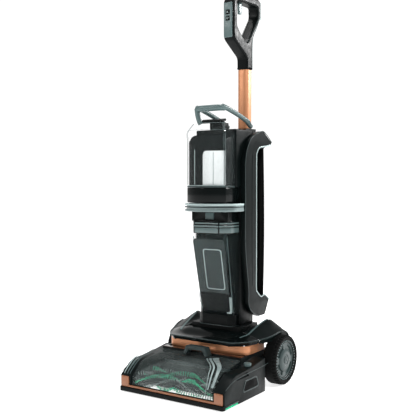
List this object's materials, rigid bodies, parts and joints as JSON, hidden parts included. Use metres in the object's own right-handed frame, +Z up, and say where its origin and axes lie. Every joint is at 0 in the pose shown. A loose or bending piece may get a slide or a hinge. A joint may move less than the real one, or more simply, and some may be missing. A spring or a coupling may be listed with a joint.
{
  "type": "carpet cleaner machine",
  "caption": "Upright carpet cleaner with copper pole, loop handle, clear clean-water tank, smoked dirty-water tank and a low brush head.",
  "frame": {"origin": "on the floor, midway between the front of the bumper and the back of the handle loop, on the centre plane", "axes": "+X is the machine's right, +Y its rear, +Z up"},
  "size_m": [0.374, 0.454, 1.1356],
  "materials": {
    "amber_plastic": "amber-brown translucent plastic",
    "black_plastic": "satin black moulded plastic",
    "black_rubber": "black rubber sheath",
    "bristle": "green and grey nylon bristles on a dark core",
    "clear_plastic": "clear moulded plastic",
    "copper": "brushed copper-coloured metallic finish",
    "gloss_black": "glossy near-black plastic with a green cast",
    "grey_plastic": "grey-green satin plastic",
    "mint_bristle": "mint green nylon bristle",
    "silver_plastic": "silver-grey painted plastic",
    "smoke_plastic": "smoked transparent plastic",
    "steel": "plain steel",
    "tyre_rubber": "black soft tyre"
  },
  "bodies": {
    "base": {"base_housing": "black_plastic", "front_bumper": "black_plastic", "copper_lip": "copper", "edge_brushes": "mint_bristle", "amber_deck": "amber_plastic", "copper_band": "copper", "base_hood": "gloss_black", "rear_axle": "steel", "brush_motor": "steel", "drive_belt": "black_rubber", "belt_cover": "black_plastic", "spray_bar": "black_plastic"},
    "wheel_right": {"tyre_right": "tyre_rubber", "wheel_hub_right": "black_plastic"},
    "wheel_left": {"tyre_left": "tyre_rubber", "wheel_hub_left": "black_plastic"},
    "front_roller": {"front_rollers": "black_plastic"},
    "brush_front": {"brush_roll_front": "bristle"},
    "brush_rear": {"brush_roll_rear": "bristle"},
    "motor_rotor": {"motor_pulley": "steel"},
    "window": {"brush_window": "clear_plastic", "suction_duct": "silver_plastic"},
    "window_catch": {"window_latch": "black_plastic"},
    "base_button": {"release_button": "grey_plastic"},
    "pedal": {"recline_pedal": "grey_plastic"},
    "upright": {"neck": "black_plastic", "body_housing": "black_plastic", "shoulder_shell": "grey_plastic", "mid_band": "black_plastic", "suction_motor": "steel", "water_pump": "grey_plastic", "back_cover": "black_plastic", "exhaust_grille": "black_plastic", "cover_screws": "steel", "side_frame_right": "gloss_black", "side_frame_left": "gloss_black", "pole": "copper", "handle_loop": "black_plastic", "handle_panel": "grey_plastic", "cord_gland": "black_rubber", "cord_lead": "black_rubber", "cord_hank": "black_rubber", "cord_plug": "black_rubber"},
    "fan": {"impeller": "grey_plastic"},
    "top_latch": {"tank_latch": "black_plastic"},
    "clean_tank": {"clean_tank_shell": "clear_plastic", "clean_tank_liner": "gloss_black", "clean_tank_base": "black_plastic", "tank_handle": "grey_plastic"},
    "fill_cap": {"clean_tank_cap": "black_plastic"},
    "dirty_tank": {"dirty_tank_shell": "smoke_plastic", "dirty_tank_lid": "smoke_plastic", "separator": "smoke_plastic"},
    "lid_key": {"lid_button": "grey_plastic"},
    "bail": {"bail_handle": "silver_plastic"},
    "float": {"tank_float": "grey_plastic"},
    "handle_trigger": {"trigger": "black_plastic"},
    "key_upper": {"button_upper": "black_plastic"},
    "key_lower": {"button_lower": "black_plastic"}
  },
  "joints": [
    {"name": "upright_recline", "type": "hinge", "parent": "base", "child": "upright", "pos_m": [0, 0.082, 0.07], "axis": [-1, 0, 0], "range_deg": [0, 55]},
    {"name": "wheel_right_spin", "type": "hinge", "parent": "base", "child": "wheel_right", "pos_m": [0, 0.082, 0.07], "axis": [1, 0, 0], "continuous": true},
    {"name": "wheel_left_spin", "type": "hinge", "parent": "base", "child": "wheel_left", "pos_m": [0, 0.082, 0.07], "axis": [1, 0, 0], "continuous": true},
    {"name": "front_roller_spin", "type": "hinge", "parent": "base", "child": "front_roller", "pos_m": [0, -0.0965, 0.008], "axis": [1, 0, 0], "continuous": true},
    {"name": "motor_spin", "type": "hinge", "parent": "base", "child": "motor_rotor", "pos_m": [0, -0.051, 0.042], "axis": [1, 0, 0], "continuous": true},
    {"name": "brush_front_spin", "type": "hinge", "parent": "base", "child": "brush_front", "pos_m": [0, -0.182, 0.03], "axis": [1, 0, 0], "continuous": true},
    {"name": "brush_rear_spin", "type": "hinge", "parent": "base", "child": "brush_rear", "pos_m": [0, -0.13, 0.03], "axis": [1, 0, 0], "continuous": true},
    {"name": "window_open", "type": "hinge", "parent": "base", "child": "window", "pos_m": [0, -0.216, 0.0226], "axis": [1, 0, 0], "range_deg": [0, 60]},
    {"name": "window_latch_lift", "type": "hinge", "parent": "window", "child": "window_catch", "pos_m": [0, -0.105, 0.0963], "axis": [1, 0, 0], "range_deg": [0, 10], "stiffness_Nm_per_rad": 0.15},
    {"name": "base_button_press", "type": "slide", "parent": "base", "child": "base_button", "axis": [0, 0, -1], "range_m": [0, 0.004], "stiffness_N_per_m": 300},
    {"name": "pedal_press", "type": "hinge", "parent": "base", "child": "pedal", "pos_m": [0, 0.1115, 0.072], "axis": [-1, 0, 0], "range_deg": [0, 15], "stiffness_Nm_per_rad": 1},
    {"name": "fan_spin", "type": "hinge", "parent": "upright", "child": "fan", "pos_m": [0, 0.059, 0.5], "axis": [0, 0, 1], "continuous": true},
    {"name": "top_latch_press", "type": "hinge", "parent": "upright", "child": "top_latch", "pos_m": [0, 0.035, 0.7239], "axis": [-1, 0, 0], "range_deg": [0, 15], "stiffness_Nm_per_rad": 0.3},
    {"name": "clean_tank_lift", "type": "slide", "parent": "upright", "child": "clean_tank", "axis": [0, 0, 1], "range_m": [0, 0.15]},
    {"name": "fill_cap_turn", "type": "hinge", "parent": "clean_tank", "child": "fill_cap", "pos_m": [0, -0.035, 0.5586], "axis": [0, 0, 1], "range_deg": [0, 90]},
    {"name": "dirty_tank_pull", "type": "slide", "parent": "upright", "child": "dirty_tank", "axis": [0, -1, 0], "range_m": [0, 0.12]},
    {"name": "lid_key_press", "type": "slide", "parent": "dirty_tank", "child": "lid_key", "axis": [0, 1, 0], "range_m": [0, 0.002], "stiffness_N_per_m": 300},
    {"name": "bail_swing", "type": "hinge", "parent": "dirty_tank", "child": "bail", "pos_m": [0, 0.012, 0.5028], "axis": [1, 0, 0], "range_deg": [0, 12]},
    {"name": "float_rise", "type": "slide", "parent": "dirty_tank", "child": "float", "axis": [0, 0, 1], "range_m": [0, 0.03]},
    {"name": "trigger_pull", "type": "hinge", "parent": "upright", "child": "handle_trigger", "pos_m": [0, 0.129, 1.1206], "axis": [1, 0, 0], "range_deg": [0, 10], "stiffness_Nm_per_rad": 0.1},
    {"name": "key_upper_press", "type": "slide", "parent": "upright", "child": "key_upper", "axis": [0, 1, 0], "range_m": [0, 0.0015], "stiffness_N_per_m": 400},
    {"name": "key_lower_press", "type": "slide", "parent": "upright", "child": "key_lower", "axis": [0, 1, 0], "range_m": [0, 0.0015], "stiffness_N_per_m": 400}
  ],
  "couplings": [
    {"joint": "brush_front_spin", "follows": "motor_spin", "ratio": 0.69231},
    {"joint": "brush_rear_spin", "follows": "motor_spin", "ratio": 0.69231}
  ]
}
